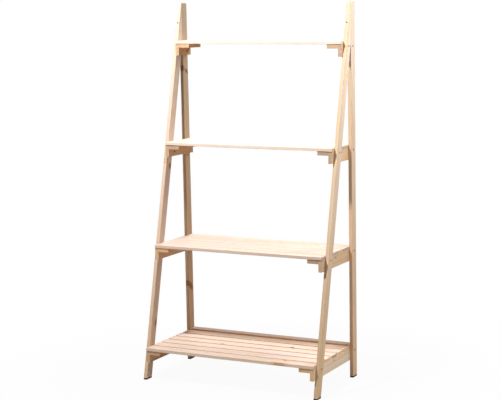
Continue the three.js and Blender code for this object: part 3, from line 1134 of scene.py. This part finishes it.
def add_camera():
    """A camera from its place, its turns and its focal length in pixels of a 500 by 400 frame."""
    yaw, pitch, roll = CAMERA_YAW, CAMERA_PITCH, CAMERA_ROLL
    forward = Vector((-math.sin(yaw) * math.cos(pitch), math.cos(yaw) * math.cos(pitch),
                      math.sin(pitch)))
    level = Vector((math.cos(yaw), math.sin(yaw), 0.0))
    upright = level.cross(forward)
    right = math.cos(roll) * level + math.sin(roll) * upright
    up = -math.sin(roll) * level + math.cos(roll) * upright
    data = bpy.data.cameras.new("camera")
    data.sensor_fit = "HORIZONTAL"
    data.sensor_width = SENSOR_WIDTH
    data.lens = CAMERA_FOCAL / FRAME_WIDTH * SENSOR_WIDTH
    data.shift_x = (FRAME_WIDTH / 2 - CAMERA_CENTRE[0]) / FRAME_WIDTH
    data.shift_y = (CAMERA_CENTRE[1] - FRAME_HEIGHT / 2) / FRAME_WIDTH
    data.clip_end = CAMERA_REACH
    camera = bpy.data.objects.new("camera", data)
    turn = Matrix((right, up, -forward)).transposed()
    camera.matrix_world = Matrix.Translation(CAMERA_PLACE) @ turn.to_4x4()
    bpy.context.scene.collection.objects.link(camera)
    bpy.context.scene.camera = camera


def add_lamp(name, place, size, watts):
    """A round area lamp that looks at the stand's middle."""
    data = bpy.data.lights.new(name, "AREA")
    data.shape = "DISK"
    data.size = size
    data.energy = watts
    lamp = bpy.data.objects.new(name, data)
    lamp.location = place
    lamp.rotation_mode = "QUATERNION"
    lamp.rotation_quaternion = (STAND_CENTRE - Vector(place)).to_track_quat("-Z", "Y")
    lamp.visible_camera = False
    bpy.context.scene.collection.objects.link(lamp)


def seen_directly(tree):
    """1 where the camera, a mirror or glass sees the surface, else 0."""
    path = tree.nodes.new("ShaderNodeLightPath").outputs
    seen = calc(tree, "MAXIMUM", path["Is Camera Ray"], path["Is Glossy Ray"])
    return calc(tree, "MAXIMUM", seen, path["Is Transmission Ray"])


def add_world(ambient):
    """An even light from all round that looks white itself."""
    world = bpy.data.worlds.new("studio")
    world.use_nodes = True
    tree = world.node_tree
    tree.nodes.clear()
    soft = node(tree, "ShaderNodeBackground", {"Color": WHITE, "Strength": ambient})
    white = node(tree, "ShaderNodeBackground", {"Color": WHITE, "Strength": 1.0})
    both = node(tree, "ShaderNodeMixShader", {
        0: seen_directly(tree), 1: soft.outputs[0], 2: white.outputs[0]})
    node(tree, "ShaderNodeOutputWorld", {0: both.outputs[0]})
    bpy.context.scene.world = world


def add_floor(floor_colour):
    """A plain pale floor: a wide disc. Seen directly it is mostly white, and keeps a faint
    shadow of the stand that fades out with the distance from the stand."""
    angle = np.arange(FLOOR_STEPS) * 2 * np.pi / FLOOR_STEPS
    level = np.full(FLOOR_STEPS, FLOOR_LEVEL)
    rim = np.stack([FLOOR_RADIUS * np.cos(angle), FLOOR_RADIUS * np.sin(angle), level], axis=1)
    mesh = bpy.data.meshes.new("floor")
    mesh.from_pydata(rim.tolist(), [], [list(range(FLOOR_STEPS))])
    floor = new_piece("floor", mesh)
    material = bpy.data.materials.new("floor_paint")
    material.use_nodes = True
    tree = material.node_tree
    tree.nodes.clear()
    paint = node(tree, "ShaderNodeBsdfDiffuse", {"Color": rgba(floor_colour)})
    white = node(tree, "ShaderNodeEmission", {"Color": WHITE, "Strength": 1.0})
    away = calc_vector(tree, "LENGTH", node(tree, "ShaderNodeTexCoord").outputs["Object"])
    whiteness = ramp(tree, away, SHADOW_FULL, SHADOW_END, FLOOR_WHITENESS, 1.0)
    share = calc(tree, "MULTIPLY", seen_directly(tree), whiteness)
    both = node(tree, "ShaderNodeMixShader", {0: share, 1: paint.outputs[0], 2: white.outputs[0]})
    node(tree, "ShaderNodeOutputMaterial", {0: both.outputs[0]})
    mesh.materials.append(material)


class STAND_OT_stage(bpy.types.Operator):
    """Makes the camera, the floor and the studio light"""
    bl_idname = "stand.stage"
    bl_label = "Stage"

    def execute(self, context):
        light = context.scene.stand_light
        add_camera()
        for name, (place, size) in LAMPS.items():
            add_lamp(name, place, size, getattr(light, name))
        add_world(light.ambient)
        add_floor(context.scene.stand_colours.floor)
        context.scene.view_settings.view_transform = "Standard"
        return {"FINISHED"}


class STAND_PT_panel(bpy.types.Panel):
    """Lists the stand's pieces in the sidebar"""
    bl_idname = "STAND_PT_panel"
    bl_label = "Plant ladder stand"
    bl_space_type = "VIEW_3D"
    bl_region_type = "UI"
    bl_category = "Stand"

    def draw(self, context):
        for group in PROPERTY_GROUPS:
            box = self.layout.box()
            settings = getattr(context.scene, group)
            for name in settings.bl_rna.properties.keys():
                if name not in ("rna_type", "name"):
                    box.prop(settings, name)
        for operator in OPERATORS:
            self.layout.operator(operator.bl_idname)


PROPERTY_GROUPS = {
    "stand_timber": StandTimber,
    "stand_fixings": StandFixings,
    "stand_colours": StandColours,
    "stand_light": StandLight,
}
OPERATORS = (
    STAND_OT_legs,
    STAND_OT_rails,
    STAND_OT_battens,
    STAND_OT_slats,
    STAND_OT_back_rail,
    STAND_OT_pads,
    STAND_OT_frame_screws,
    STAND_OT_other_screws,
    STAND_OT_stage,
)


def register():
    for name, group in PROPERTY_GROUPS.items():
        bpy.utils.register_class(group)
        setattr(bpy.types.Scene, name, bpy.props.PointerProperty(type=group))
    for item in (*OPERATORS, STAND_PT_panel):
        bpy.utils.register_class(item)


def unregister():
    for item in reversed((*OPERATORS, STAND_PT_panel)):
        bpy.utils.unregister_class(item)
    for name, group in PROPERTY_GROUPS.items():
        delattr(bpy.types.Scene, name)
        bpy.utils.unregister_class(group)


def main():
    register()
    bpy.ops.stand.legs()
    bpy.ops.stand.rails()
    bpy.ops.stand.battens()
    bpy.ops.stand.slats()
    bpy.ops.stand.back_rail()
    bpy.ops.stand.pads()
    bpy.ops.stand.frame_screws()
    bpy.ops.stand.other_screws()
    bpy.ops.stand.stage()


if __name__ == "__main__":
    main()
